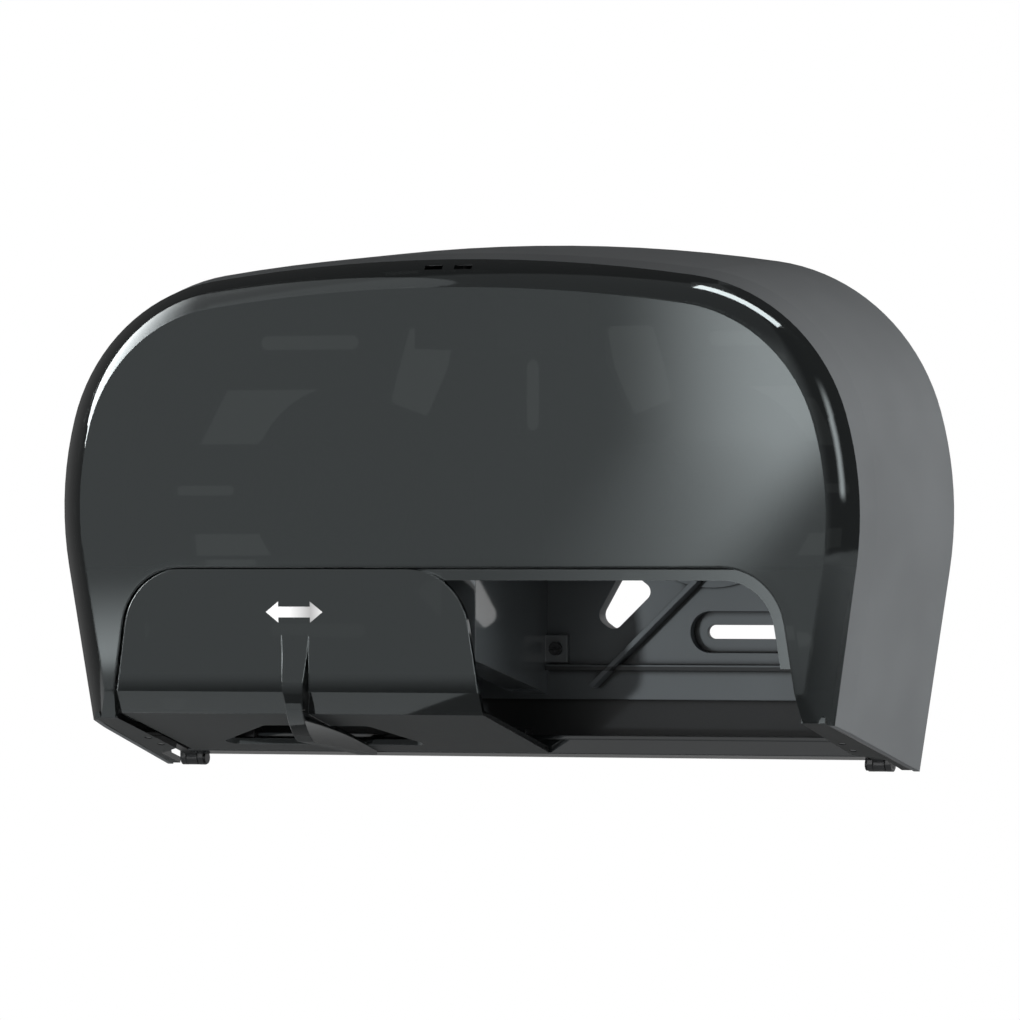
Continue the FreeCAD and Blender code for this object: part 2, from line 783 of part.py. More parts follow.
def make_door():
    body = new_body("door")
    outer = door_section(0)
    inner = door_section(size.door_skin)
    sheet_loop = [(point.x, point.y) for point in outer + inner[::-1]]
    section = sketch_on(body, "DoorSection", "YZ_Plane", polygon(sheet_loop), lift="door_centre_x")
    pad(body, section, "2 * door_half_width", middle=True)

    # Arched sides and top corners, the same arch as the mouth's
    low = size.outline_bottom - size.overrun
    centre = size.door_centre_x
    narrower = size.door_side_gap - size.door_centre_x
    half = size.door_half_width + size.overrun
    around = rectangle(centre - half, centre + half, low - size.overrun, size.mouth_top_z + size.overrun)
    arch = mouth_outline(size.door_edge_gap, low, centre, narrower)
    pocket(body, sketch_on(body, "DoorArch", "XZ_Plane", around + arch, place=front_plane(size.band_depth)))

    # Opening for the fingers on both sides of the grip
    fingers = rounded([
        (centre - size.finger_left_front_share * size.door_half_width, -size.finger_front),
        (centre + size.finger_right_front_share * size.door_half_width, -size.finger_front),
        (centre + size.finger_right_back_share * size.door_half_width, -size.finger_back),
        (centre - size.finger_left_back_share * size.door_half_width, -size.finger_back),
    ], size.finger_corner_radius)
    pocket(body, sketch_on(body, "DoorFingers", "XY_Plane", fingers, lift="outline_bottom"), reverse=True)

    # Grip: a fin that leaves the face, turns round the bevel and runs back under the opening
    back = outer[3]
    face_in = size.door_skin / 2
    upper_z = (size.grip_top_z + size.grip_swell_z) / 2

    def on_grip(z):
        return (front_y(z, 0) - grip_reach(z), z)

    grip_top = (front_y(size.grip_top_z, 0), size.grip_top_z)
    grip_low = (-size.grip_low_depth, size.grip_low_z)
    tail = (back.x, back.y - size.grip_tail_drop)
    middle = door_section(face_in)
    grip = [
        arc(grip_top, on_grip(upper_z), on_grip(size.grip_swell_z)),
        arc(on_grip(size.grip_swell_z), on_grip(size.grip_bulge_z), grip_low),
        line(grip_low, tail),
        line(tail, (middle[3].x, middle[3].y)),
        line((middle[3].x, middle[3].y), (middle[2].x, middle[2].y)),
        line((middle[2].x, middle[2].y), (middle[1].x, middle[1].y)),
        line((middle[1].x, middle[1].y), (front_y(size.grip_top_z, face_in), size.grip_top_z)),
        line((front_y(size.grip_top_z, face_in), size.grip_top_z), grip_top),
    ]
    grip_sketch = sketch_on(body, "DoorGrip", "YZ_Plane", grip, lift="door_centre_x")
    pad(body, grip_sketch, "grip_width", middle=True)

    # Flanks of the grip: wide and flush at its top, drawn in to its own width at its foot
    flanks = []
    for share in (0.02, 0.24, 0.47, 0.63, 0.79, 1):
        z = size.grip_top_z + share * (size.flank_foot_z - size.grip_top_z)
        half = (size.flank_top_width + share * (size.grip_width - size.flank_top_width)) / 2 + size.flank_lift
        root = half if share == 1 else size.flank_root_width / 2
        front = on_grip(z)[0] - size.flank_lift
        inside = front_y(z, face_in) if z > size.bevel_top_z else crossing_y(middle[1], middle[2], z)
        section = polygon([
            (centre - root, inside), (centre + root, inside),
            (centre + half, front), (centre - half, front),
        ])
        lift = "grip_top_z + %s * (flank_foot_z - grip_top_z)" % share
        flanks.append(sketch_on(body, "GripFlank", "XY_Plane", section, lift=lift))
    loft(body, "AdditiveLoft", flanks)

    # Two stiffening ribs behind the face
    rib = polygon([
        (front_y(size.door_rib_top_z, face_in), size.door_rib_top_z),
        (front_y(size.door_rib_top_z, face_in) + size.door_rib_depth, size.door_rib_top_z),
        (front_y(size.door_rib_foot_z, face_in) + size.door_rib_depth, size.door_rib_foot_z),
        (middle[1].x, middle[1].y),
    ])
    offset = size.door_half_width - size.door_rib_inset
    for name, sign in (("DoorRibRight", 1), ("DoorRibLeft", -1)):
        place = Placement(Vector(0, 0, size.door_centre_x + sign * offset), Rotation())
        pad(body, sketch_on(body, name, "YZ_Plane", rib, place=place), "door_rib_thickness", middle=True)


def make_upper_glide(label, sign):
    """Hook behind the door's upper edge that rides on the strip over the mouth."""
    body = new_body(label)
    strip_z = size.mouth_top_z - size.strip_width
    strip_back = size.door_skin + size.clearance + size.strip_thickness
    shelf = strip_z - size.clearance
    tip = strip_z + size.upper_glide_lip
    foot = shelf - size.upper_glide_drop
    hook = polygon([
        (front_y(foot, size.door_skin), foot),
        (front_y(shelf, size.door_skin), shelf),
        (front_y(shelf, strip_back + size.clearance), shelf),
        (front_y(tip, strip_back + size.clearance), tip),
        (front_y(tip, strip_back + size.clearance + size.glide_wall), tip),
        (front_y(foot, strip_back + size.clearance + size.glide_wall), foot),
    ])
    lift = "door_centre_x %s upper_glide_pitch / 2" % sign
    pad(body, sketch_on(body, "GlideHook", "YZ_Plane", hook, lift=lift), "upper_glide_length", middle=True)


def make_lower_glide(label, sign):
    """Clip on the door's floor that wraps the lip of the lower rail from the front."""
    body = new_body(label)
    rise = size.door_rise + size.door_skin
    lip_front = size.rail_front + size.rail_lip_reach + size.clearance
    lip_top = rail_top_z() + size.clearance
    lip_low = rail_top_z() - size.rail_lip_thickness - size.clearance
    front = lip_front + size.lower_glide_depth - size.rail_lip_reach
    cap = lip_top + size.lower_glide_cap
    back = size.door_back
    clip = polygon([
        (-front, underside_z(front, rise)),
        (-front, cap),
        (-back, cap),
        (-back, lip_top),
        (-lip_front, lip_top),
        (-lip_front, lip_low),
        (-back, lip_low),
        (-back, underside_z(back, rise)),
    ])
    lift = "door_centre_x %s lower_glide_pitch / 2" % sign
    pad(body, sketch_on(body, "GlideClip", "YZ_Plane", clip, lift=lift), "lower_glide_length", middle=True)


# Hinges at the foot of the cover

def make_hinge_arm(label, sign):
    """Knuckle on the hinge pin and the flat arm that joins it to the cover's floor and the lower rail."""
    body = new_body(label)
    axle = (-size.hinge_depth, size.hinge_z)
    lift = "%d * hinge_x" % sign
    knuckle = sketch_on(body, "Knuckle", "YZ_Plane", circle(axle, size.knuckle_radius), lift=lift)
    pad(body, knuckle, "knuckle_length", middle=True)
    rise = size.floor_thickness
    top = rise + size.arm_thickness
    near = size.rail_back
    arm = polygon([
        (-size.hinge_depth, underside_z(size.hinge_depth, top)),
        (-size.arm_front, underside_z(size.arm_front, top)),
        (-size.arm_front, underside_z(size.arm_front, rise)),
        (-near, underside_z(near, rise)),
        (-size.hinge_depth, size.hinge_z),
    ])
    pad(body, sketch_on(body, "Arm", "YZ_Plane", arm, lift=lift), "knuckle_length", middle=True)
    bore = circle(axle, size.hinge_pin_radius + size.running_clearance)
    pocket(body, sketch_on(body, "PinBore", "YZ_Plane", bore, lift=lift), middle=True)
    holes = []
    for along in arm_screw_places():
        holes.append((sign * size.hinge_x, -along))
    holes_sketch = sketch_on(body, "ArmHoles", "XY_Plane", screw_holes(holes), place=underside_plane())
    pocket(body, holes_sketch, reverse=True)


def make_hinge_pin(label, sign):
    """Headed pin through the two ears and the knuckle, along X."""
    ears = size.knuckle_length + 2 * (size.clearance + size.ear_thickness)
    pin = doc.addObject("Part::Cylinder", label + "_shank")
    bind(pin, "Radius", "hinge_pin_radius")
    bind(pin, "Height", "knuckle_length + 2 * (clearance + ear_thickness)")
    head = doc.addObject("Part::Cylinder", label + "_head")
    bind(head, "Radius", "hinge_pin_radius + hinge_pin_head")
    bind(head, "Height", "hinge_pin_head")
    turn = Rotation(Vector(0, 1, 0), 90)
    centre = sign * size.hinge_x
    pin.Placement = Placement(Vector(centre - ears / 2, -size.hinge_depth, size.hinge_z), turn)
    start = centre - ears / 2 - size.hinge_pin_head if sign > 0 else centre + ears / 2
    head.Placement = Placement(Vector(start, -size.hinge_depth, size.hinge_z), turn)
    whole = doc.addObject("Part::Fuse", label)
    whole.Base = pin
    whole.Tool = head
    whole.Label = label
    sub_parts.append(whole)


def make_hinge_bracket(label, sign):
    """Base on the back plate's web with two ears that hold the hinge pin."""
    body = new_body(label)
    lift = "%d * hinge_x" % sign
    web = size.plate_web
    span = "knuckle_length + 2 * (clearance + ear_thickness)"
    back = -web
    front = -web - size.bracket_base
    foot_z = size.hinge_z + size.knuckle_radius + size.clearance
    base = rectangle(front, back, foot_z, size.bracket_top_z)
    pad(body, sketch_on(body, "BracketBase", "YZ_Plane", base, lift=lift), span, middle=True)
    radius = size.knuckle_radius
    ear = [
        line((back, foot_z), (back, size.hinge_z)),
        arc((back, size.hinge_z), (-size.hinge_depth, size.hinge_z - radius),
            (-size.hinge_depth - radius, size.hinge_z)),
        line((-size.hinge_depth - radius, size.hinge_z), (-size.hinge_depth - radius, foot_z)),
        line((-size.hinge_depth - radius, foot_z), (back, foot_z)),
    ]
    pad(body, sketch_on(body, "BracketEar", "YZ_Plane", ear, lift=lift), span, middle=True)
    throat = rectangle(-size.hinge_depth - size.overrun, back + size.overrun,
                       size.hinge_z - size.overrun, foot_z)
    pocket(body, sketch_on(body, "BracketThroat", "YZ_Plane", throat, lift=lift),
           "knuckle_length + 2 * clearance", middle=True)
    bore = circle((-size.hinge_depth, size.hinge_z), size.hinge_pin_radius + size.screw_clearance)
    pocket(body, sketch_on(body, "BracketBore", "YZ_Plane", bore, lift=lift), middle=True)
    holes = screw_holes(bracket_screw_places(sign))
    pocket(body, sketch_on(body, "BracketHoles", "XZ_Plane", holes), reverse=True)


def bracket_screw_places(sign):
    upper = size.bracket_top_z - size.bracket_screw_drop
    return [(sign * size.hinge_x, upper), (sign * size.hinge_x, upper - size.bracket_screw_pitch)]


def make_screws(label, places, direction, length="screw_length"):
    """A group of like screws, each with its head seated at a point and its shank along a direction."""
    group = []
    turn = Rotation(Vector(0, 0, 1), direction)
    for number, point in enumerate(places):
        name = "%s_%d" % (label, number)
        shank = doc.addObject("Part::Cylinder", name + "_shank")
        bind(shank, "Radius", "screw_radius")
        bind(shank, "Height", length)
        head = doc.addObject("Part::Cylinder", name + "_head")
        bind(head, "Radius", "screw_head_radius")
        bind(head, "Height", "screw_head_height")
        slot = doc.addObject("Part::Box", name + "_slot")
        bind(slot, "Length", "4 * screw_head_radius")
        bind(slot, "Width", "screw_slot_width")
        bind(slot, "Height", "2 * screw_slot_depth")
        whole = Placement(point, turn)
        shank.Placement = whole
        head.Placement = whole * Placement(Vector(0, 0, -size.screw_head_height), Rotation())
        corner = Vector(-2 * size.screw_head_radius, -size.screw_slot_width / 2,
                        -size.screw_head_height - size.screw_slot_depth)
        slot.Placement = whole * Placement(corner, Rotation())
        blank = doc.addObject("Part::Fuse", name + "_blank")
        blank.Base = shank
        blank.Tool = head
        screw = doc.addObject("Part::Cut", name)
        screw.Base = blank
        screw.Tool = slot
        group.append(screw)
    compound = doc.addObject("Part::Compound", label)
    compound.Links = group
    compound.Label = label
    sub_parts.append(compound)


# Back plate

def both_sides(points):
    return [points, mirrored(points)]


def disc_cut(window):
    """A window's loop on the right whose inner side follows the spindle disc, and a point on that side."""
    outer, radius = window
    centre = Vector(size.spindle_x, 0, 0)

    def on_ring(z):
        return (size.spindle_x + math.sqrt(radius**2 - z**2), z)

    top_z = outer[0][1]
    low_z = outer[-1][1]
    start = on_ring(low_z)
    end = on_ring(top_z) if abs(top_z) < radius else (size.spindle_x, radius)
    middle_way = (Vector(start[0], start[1], 0) - centre) + (Vector(end[0], end[1], 0) - centre)
    middle_way.normalize()
    middle = centre + middle_way * radius
    points = [end] + outer + [start]
    return points, (middle.x, middle.y)


def window_loops(grow):
    """Loops of the plate's see-through windows, each grown outward by a wall's width."""
    loops = []
    petal = [
        (size.petal_inner_x - grow, size.petal_top_z + grow),
        (size.petal_outer_x + grow, size.petal_top_z + grow),
        (size.petal_knee_outer_x + grow, size.petal_knee_z),
        (size.petal_toe_x + grow, size.petal_toe_z),
        (size.petal_foot_x, size.petal_foot_z - grow),
        (size.petal_knee_inner_x - grow, size.petal_knee_z),
    ]
    tear = [
        (size.tear_heel_x - grow, size.tear_heel_z),
        (size.tear_toe_x, size.tear_toe_z - grow),
        (size.tear_right_x + grow, size.tear_right_z),
        (size.tear_peak_x, size.tear_top_z + grow),
        (size.tear_left_x - grow, size.tear_top_z + grow),
    ]
    sliver = [
        (size.sliver_start_x - grow, size.sliver_top_z + grow),
        (size.lower_window_foot_x + grow, size.sliver_top_z + grow),
        (size.lower_window_foot_x + grow, size.sliver_foot_z - grow),
        (size.sliver_start_x - grow, size.sliver_foot_z - grow),
    ]
    for points in both_sides(petal):
        loops.append(rounded(points, size.window_corner_radius + grow))
    for points in both_sides(tear):
        loops.append(rounded(points, size.tear_radius + grow))
    for points in both_sides(sliver):
        loops.append(rounded(points, (size.sliver_top_z - size.sliver_foot_z) / 2))
    ring = size.disc_radius + size.disc_gap - grow
    upper = [
        (size.upper_window_shoulder_x + grow, size.upper_window_top_z + grow),
        (size.upper_window_toe_x + grow, size.upper_window_foot_z - grow),
    ]
    lower = [
        (size.lower_window_top_x + grow, size.lower_window_top_z + grow),
        (size.lower_window_foot_x + grow, size.lower_window_foot_z - grow),
    ]
    for outer in (upper, lower):
        points, middle = disc_cut((outer, ring))
        for sign in (1, -1):
            side = [(sign * x, z) for x, z in points]
            loop = [line(start, end) for start, end in zip(side, side[1:])]
            loop.append(arc(side[-1], (sign * middle[0], middle[1]), side[0]))
            loops.append(loop)
    return loops


def slot_loops(grow):
    """Loops of the mounting slots, the side slots and the middle slot, each grown outward."""
    loops = []
    for sign_x in (-1, 1):
        for sign_z in (-1, 1):
            centre = (sign_x * size.slot_pitch_x / 2, sign_z * size.slot_pitch_z / 2)
            loops.append(obround(centre, size.slot_length + 2 * grow, size.slot_width + 2 * grow))
        side = (sign_x * size.side_slot_x, 0)
        loops.append(obround(side, size.side_slot_length + 2 * grow, size.side_slot_width + 2 * grow))
    middle = (0, size.mid_slot_z)
    length = size.mid_slot_length + 2 * grow
    loops.append(obround(middle, length, size.mid_slot_width + 2 * grow, upright=True))
    return loops


def well_loops(grow):
    """Loops of the recessed wells round the mounting slots and the middle slot."""
    loops = []
    margin = size.well_margin + grow
    for sign_x in (-1, 1):
        for sign_z in (-1, 1):
            centre = (sign_x * size.slot_pitch_x / 2, sign_z * size.slot_pitch_z / 2)
            loops.append(obround(centre, size.slot_length + 2 * margin, size.slot_width + 2 * margin))
    margin = size.mid_well_margin + grow
    middle = (0, size.mid_slot_z)
    length = size.mid_slot_length + 2 * margin
    loops.append(obround(middle, length, size.mid_slot_width + 2 * margin, upright=True))
    return loops


def joined(loops):
    return [edge for loop in loops for edge in loop]


def plate_screw_places():
    """Points on the plate's front face, in front view, where pieces are screwed to it."""
    places = []
    for z in (size.divider_tab_upper_z, size.divider_tab_lower_z):
        for sign in (-1, 1):
            places.append((sign * (size.divider_half_width + size.divider_tab_width / 2), z))
    return places


def lock_screw_places():
    middle_z = (size.lock_top_z + size.lock_bottom_z) / 2
    reach = size.lock_half_width + size.lock_tab_reach / 2
    return [(sign * reach, middle_z) for sign in (-1, 1)]


def spindle_screw_places(sign):
    places = []
    for number in range(int(size.spindle_screw_count)):
        angle = 90 + number * 360 / size.spindle_screw_count
        places.append((sign * size.spindle_x + size.spindle_screw_ring * cos(angle),
                       size.spindle_screw_ring * sin(angle)))
    return places


def make_back_plate():
    body = new_body("back_plate")
    edge = size.frame_wall + size.plate_gap
    face = cover_outline(edge, size.plate_face_bottom_z)
    pad(body, sketch_on(body, "PlateFace", "XZ_Plane", face), "plate_depth")
    web_half = size.hinge_x + size.knuckle_length / 2 + size.clearance + size.ear_thickness
    web = rectangle(-web_half, web_half, size.plate_web_bottom_z, size.plate_face_bottom_z)
    pad(body, sketch_on(body, "PlateWeb", "XZ_Plane", web), "plate_web")
    hollow = cover_outline(edge + size.rim_width, size.plate_face_bottom_z + size.rim_width)
    hollow_sketch = sketch_on(body, "PlateHollow", "XZ_Plane", hollow)
    pocket(body, hollow_sketch, "plate_depth - plate_skin", reverse=True)

    # Walls behind the openings, from the skin back to the wall
    rims = window_loops(size.rim_width) + slot_loops(size.rim_width) + well_loops(size.rim_width)
    for number, loop in enumerate(rims):
        pad(body, sketch_on(body, "OpeningWall%d" % number, "XZ_Plane", loop), "plate_depth")
    for sign in (-1, 1):
        name = "Left" if sign < 0 else "Right"
        disc = circle((sign * size.spindle_x, 0), size.disc_radius)
        pad(body, sketch_on(body, "Disc" + name, "XZ_Plane", disc), "plate_depth + disc_height")
    bosses = joined([circle(point, size.screw_head_radius + size.rim_width)
                     for point in plate_screw_places() + lock_screw_places()])
    pad(body, sketch_on(body, "ScrewBosses", "XZ_Plane", bosses), "plate_depth")

    # Oblique ribs and the horizontal bead on the face
    run = Vector(size.rib_foot_x - size.rib_top_x, size.rib_foot_z - size.rib_top_z, 0)
    run.normalize()
    across = Vector(-run.y, run.x, 0) * (size.rib_width / 2)
    top = Vector(size.rib_top_x, size.rib_top_z, 0)
    foot = Vector(size.rib_foot_x, size.rib_foot_z, 0)
    rib = [(point.x, point.y) for point in (top + across, foot + across, foot - across, top - across)]
    for name, points in (("RibRight", rib), ("RibLeft", mirrored(rib))):
        pad(body, sketch_on(body, name, "XZ_Plane", polygon(points), lift="plate_depth - plate_skin / 2"),
            "plate_skin / 2 + rib_height")
    near = size.divider_half_width + size.clearance
    far = size.bead_half_length
    for name, sign in (("BeadRight", 1), ("BeadLeft", -1)):
        bead = rectangle(min(sign * near, sign * far), max(sign * near, sign * far),
                         size.bead_z - size.bead_width / 2, size.bead_z + size.bead_width / 2)
        pad(body, sketch_on(body, name, "XZ_Plane", bead, lift="plate_depth - plate_skin / 2"),
            "plate_skin / 2 + bead_height")

    # Openings, wells and screw holes, cut from the wall side or the front
    pocket(body, sketch_on(body, "Windows", "XZ_Plane", joined(window_loops(0))), reverse=True)
    pocket(body, sketch_on(body, "Slots", "XZ_Plane", joined(slot_loops(0))), reverse=True)
    wells = sketch_on(body, "Wells", "XZ_Plane", joined(well_loops(0)), lift="plate_depth")
    pocket(body, wells, "well_depth")
    places = plate_screw_places() + lock_screw_places()
    for sign in (-1, 1):
        places += bracket_screw_places(sign) + spindle_screw_places(sign)
    pocket(body, sketch_on(body, "ScrewHoles", "XZ_Plane", screw_holes(places)), reverse=True)


# Roll spindles and hubs, turned about an axle along Y

def turned_body(label, sign, profile):
    """A body turned about one side's spindle, from a profile of radius and depth in front of the wall."""
    body = new_body(label)
    place = Placement(Vector(sign * size.spindle_x, 0, 0), Rotation())
    points = [(radius, -depth) for radius, depth in profile]
    sketch = sketch_on(body, "Profile", "XY_Plane", polygon(points), place=place)
    revolve(body, sketch)
    return body, sketch


def make_spindle(label, sign):
    seat = size.plate_depth + size.disc_height
    shoulder = seat + size.spindle_flange_depth
    body = turned_body(label, sign, [
        (0, seat),
        (size.spindle_flange_radius, seat),
        (size.spindle_flange_radius, shoulder),
        (size.spindle_radius, shoulder),
        (size.spindle_radius, size.spindle_front),
        (size.spindle_bore_radius, size.spindle_front),
        (size.spindle_bore_radius, size.spindle_front - size.cap_stem),
        (0, size.spindle_front - size.cap_stem),
    ])[0]
    holes = screw_holes(spindle_screw_places(sign))
    pocket(body, sketch_on(body, "FlangeHoles", "XZ_Plane", holes), reverse=True)


def flange_front():
    """Depth of the front of a spindle's flange."""
    return size.plate_depth + size.disc_height + size.spindle_flange_depth


def make_brake(label, sign):
    back = flange_front()
    turned_body(label, sign, [
        (size.spindle_radius + size.running_clearance, back),
        (size.brake_radius, back),
        (size.brake_radius, back + size.brake_thickness),
        (size.spindle_radius + size.running_clearance, back + size.brake_thickness),
    ])


def make_hub(label, sign):
    """Core holder: a sleeve that runs on the spindle, and a drum with fins that grip the roll's core."""
    back = flange_front() + size.brake_thickness + size.clearance
    front = size.spindle_front - size.clearance
    bore = size.spindle_radius + size.running_clearance
    body, profile = turned_body(label, sign, [
        (bore, back),
        (size.hub_flange_radius, back),
        (size.hub_flange_radius, back + size.hub_flange_depth),
        (size.hub_radius, back + size.hub_flange_depth),
        (size.hub_radius, front),
        (size.hub_radius - size.hub_wall, front),
        (size.hub_radius - size.hub_wall, back + size.hub_web),
        (size.hub_sleeve_radius, back + size.hub_web),
        (size.hub_sleeve_radius, front),
        (bore, front),
    ])
    inner = size.hub_radius - size.hub_wall / 2
    half = size.hub_fin_width / 2
    fin = rectangle(inner, size.hub_radius + size.hub_fin_height, -half, half)
    place = Placement(Vector(sign * size.spindle_x, 0, back + size.hub_web / 2), Rotation())
    fin_length = "spindle_front - hub_fin_front_gap - plate_depth - disc_height - spindle_flange_depth"
    fin_pad = pad(body, sketch_on(body, "Fin", "XZ_Plane", fin, place=place), fin_length)
    doc.recompute()
    ring = body.newObject("PartDesign::PolarPattern", "Fins")
    ring.Originals = [fin_pad]
    ring.Axis = (profile, ["V_Axis"])
    ring.Angle = 360
    bind(ring, "Occurrences", "hub_fin_count")
    body.Tip = ring


def make_hub_cap(label, sign):
    front = size.spindle_front
    stem = size.spindle_bore_radius - size.screw_clearance
    turned_body(label, sign, [
        (0, front - size.cap_stem + size.clearance),
        (stem, front - size.cap_stem + size.clearance),
        (stem, front),
        (size.cap_radius, front),
        (size.cap_radius, front + size.cap_depth),
        (0, front + size.cap_depth),
    ])


# Divider and lock

def make_divider():
    """Hollow wall between the rolls, screwed to the plate by tabs on both sides."""
    body = new_body("centre_divider")
    back = -size.plate_depth
    front = -size.divider_front
    top = size.divider_top_z
    side = polygon([
        (back, size.divider_back_z),
        (back, top),
        (front, top - size.divider_top_drop),
        (front, size.divider_front_z),
    ])
    pad(body, sketch_on(body, "DividerSide", "YZ_Plane", side), "2 * divider_half_width", middle=True)
    wall = size.divider_wall
    core = polygon([
        (back + size.overrun, size.divider_back_z + wall),
        (back + size.overrun, top - wall),
        (back, top - wall),
        (front + wall, top - size.divider_top_drop - wall),
        (front + wall, size.divider_front_z + wall),
        (back, size.divider_back_z + wall),
    ])
    pocket(body, sketch_on(body, "DividerCore", "YZ_Plane", core),
           "2 * (divider_half_width - divider_wall)", middle=True)
    tabs = []
    for x, z in plate_screw_places():
        near = math.copysign(size.divider_half_width - size.divider_wall / 2, x)
        far = math.copysign(size.divider_half_width + size.divider_tab_width, x)
        tabs.append(rectangle(min(near, far), max(near, far),
                              z - size.divider_tab_height / 2, z + size.divider_tab_height / 2))
    for number, tab in enumerate(tabs):
        pad(body, sketch_on(body, "DividerTab%d" % number, "XZ_Plane", tab, lift="plate_depth"),
            "divider_tab_thickness")
    holes = screw_holes(plate_screw_places())
    pocket(body, sketch_on(body, "DividerHoles", "XZ_Plane", holes), reverse=True)


def make_lock_housing():
    """Bracket above the divider that carries the latch behind the key slots."""
    body = new_body("lock_housing")
    half = size.lock_half_width
    shell = rectangle(-half, half, size.lock_bottom_z, size.lock_top_z)
    shell_sketch = sketch_on(body, "LockShell", "XZ_Plane", shell, lift="plate_depth")
    pad(body, shell_sketch, "lock_front - plate_depth")
    wall = size.lock_wall
    core = rectangle(-half + wall, half - wall, size.lock_bottom_z + wall, size.lock_top_z - wall)
    core_sketch = sketch_on(body, "LockCore", "XZ_Plane", core, lift="plate_depth")
    pocket(body, core_sketch, "lock_pocket_back - plate_depth", reverse=True)
    fit = size.latch_half_width + size.clearance
    well = rectangle(-fit, fit, -size.latch_front - size.clearance, -size.latch_back + size.clearance)
    well_sketch = sketch_on(body, "LatchWell", "XY_Plane", well, lift="lock_top_z")
    pocket(body, well_sketch, "lock_top_z - lock_bottom_z - lock_wall")
    for name, sign in (("LockTabRight", 1), ("LockTabLeft", -1)):
        near = sign * (half - wall / 2)
        far = sign * (half + size.lock_tab_reach)
        tab = rectangle(min(near, far), max(near, far), size.lock_bottom_z, size.lock_top_z)
        pad(body, sketch_on(body, name, "XZ_Plane", tab, lift="plate_depth"), "lock_tab_thickness")
    holes = screw_holes(lock_screw_places())
    pocket(body, sketch_on(body, "LockHoles", "XZ_Plane", holes), reverse=True)


def make_latch():
    """Latch drawn down to its released place, with a nose for the catch and two fingers for the key."""
    body = new_body("lock_latch")
    half = size.latch_half_width
    block = rectangle(-half, half, -size.latch_front, -size.latch_back)
    block_sketch = sketch_on(body, "LatchBlock", "XY_Plane", block, lift="latch_bottom_z")
    pad(body, block_sketch, "lock_top_z - latch_bottom_z")
    nose = polygon([
        (-size.latch_back, size.lock_top_z),
        (-size.latch_back, size.latch_top_z),
        (-size.latch_front, size.lock_top_z),
    ])
    pad(body, sketch_on(body, "LatchNose", "YZ_Plane", nose), "2 * latch_nose_half_width", middle=True)
    finger = polygon([
        (-size.latch_back, size.lock_top_z),
        (-size.latch_back, size.latch_finger_top_z),
        (-size.latch_front, size.lock_top_z),
    ])
    for name, sign in (("FingerRight", ""), ("FingerLeft", "-")):
        pad(body, sketch_on(body, name, "YZ_Plane", finger, lift=sign + "key_slot_pitch / 2"),
            "latch_finger_width", middle=True)


def make_latch_spring():
    """Return spring under the latch, as the sleeve that its wire fills, standing on the housing's floor."""
    low = size.lock_bottom_z + size.lock_wall
    high = size.latch_bottom_z
    wire = size.spring_wire
    spring = doc.addObject("Part::Feature", "latch_spring")
    middle_y = -(size.latch_back + size.latch_front) / 2
    outer = (size.latch_front - size.latch_back) / 2
    sleeve = Part.makeCylinder(outer, high - low).cut(Part.makeCylinder(outer - wire, high - low))
    spring.Shape = sleeve
    spring.Placement = Placement(Vector(0, middle_y, low), Rotation())
    spring.Label = "latch_spring"
    sub_parts.append(spring)


def catch_top_z():
    """Inner face of the frame's top at the catch, where its base is bonded on."""
    depth = size.latch_back - size.clearance
    run = size.edge_depth - size.lip_depth
    inset = size.lip_inset * depth / run if depth < run else size.lip_inset
    return size.outline_top - inset - size.frame_wall


def make_catch():
    """Striker under the frame's top that the latch's nose holds from in front."""
    body = new_body("lock_catch")
    front = -size.latch_back + size.clearance
    back = front + size.catch_thickness
    slope = size.lip_inset / (size.edge_depth - size.lip_depth)
    edge = size.crown_radius - math.sqrt(size.crown_radius**2 - size.catch_base_half_width**2)
    top = catch_top_z() - edge - size.clearance
    length = size.catch_base_length
    base = polygon([
        (front, top),
        (front + length, top + slope * length),
        (front + length, top + slope * length - size.catch_base_thickness),
        (front, top - size.catch_base_thickness),
    ])
    pad(body, sketch_on(body, "CatchBase", "YZ_Plane", base), "2 * catch_base_half_width", middle=True)
    hook = rectangle(front, back, size.catch_foot_z, top - size.catch_base_thickness / 2)
    pad(body, sketch_on(body, "CatchHook", "YZ_Plane", hook), "2 * catch_half_width", middle=True)


def on_face(points, depth):
    """Points of a front view as points at a depth in front of the wall."""
    return [Vector(x, -depth, z) for x, z in points]


def make_all_screws():
    to_wall = Vector(0, 1, 0)
    divider_seat = size.plate_depth + size.divider_tab_thickness
    make_screws("divider_screws", on_face(plate_screw_places(), divider_seat), to_wall)
    lock_seat = size.plate_depth + size.lock_tab_thickness
    make_screws("lock_screws", on_face(lock_screw_places(), lock_seat), to_wall)
    spindles = spindle_screw_places(-1) + spindle_screw_places(1)
    make_screws("spindle_screws", on_face(spindles, flange_front()), to_wall)
    brackets = bracket_screw_places(-1) + bracket_screw_places(1)
    make_screws("bracket_screws", on_face(brackets, size.plate_web + size.bracket_base), to_wall,
                "plate_web + bracket_base - clearance")
    arm_top = size.floor_thickness + size.arm_thickness
    seat = underside_plane() * Placement(Vector(0, 0, arm_top), Rotation())
    arms = []
    for sign in (-1, 1):
        for along in arm_screw_places():
            arms.append(seat.multVec(Vector(sign * size.hinge_x, -along, 0)))
    down = underside_plane().Rotation.multVec(Vector(0, 0, -1))
    make_screws("arm_screws", arms, down, "floor_thickness + arm_thickness - clearance")


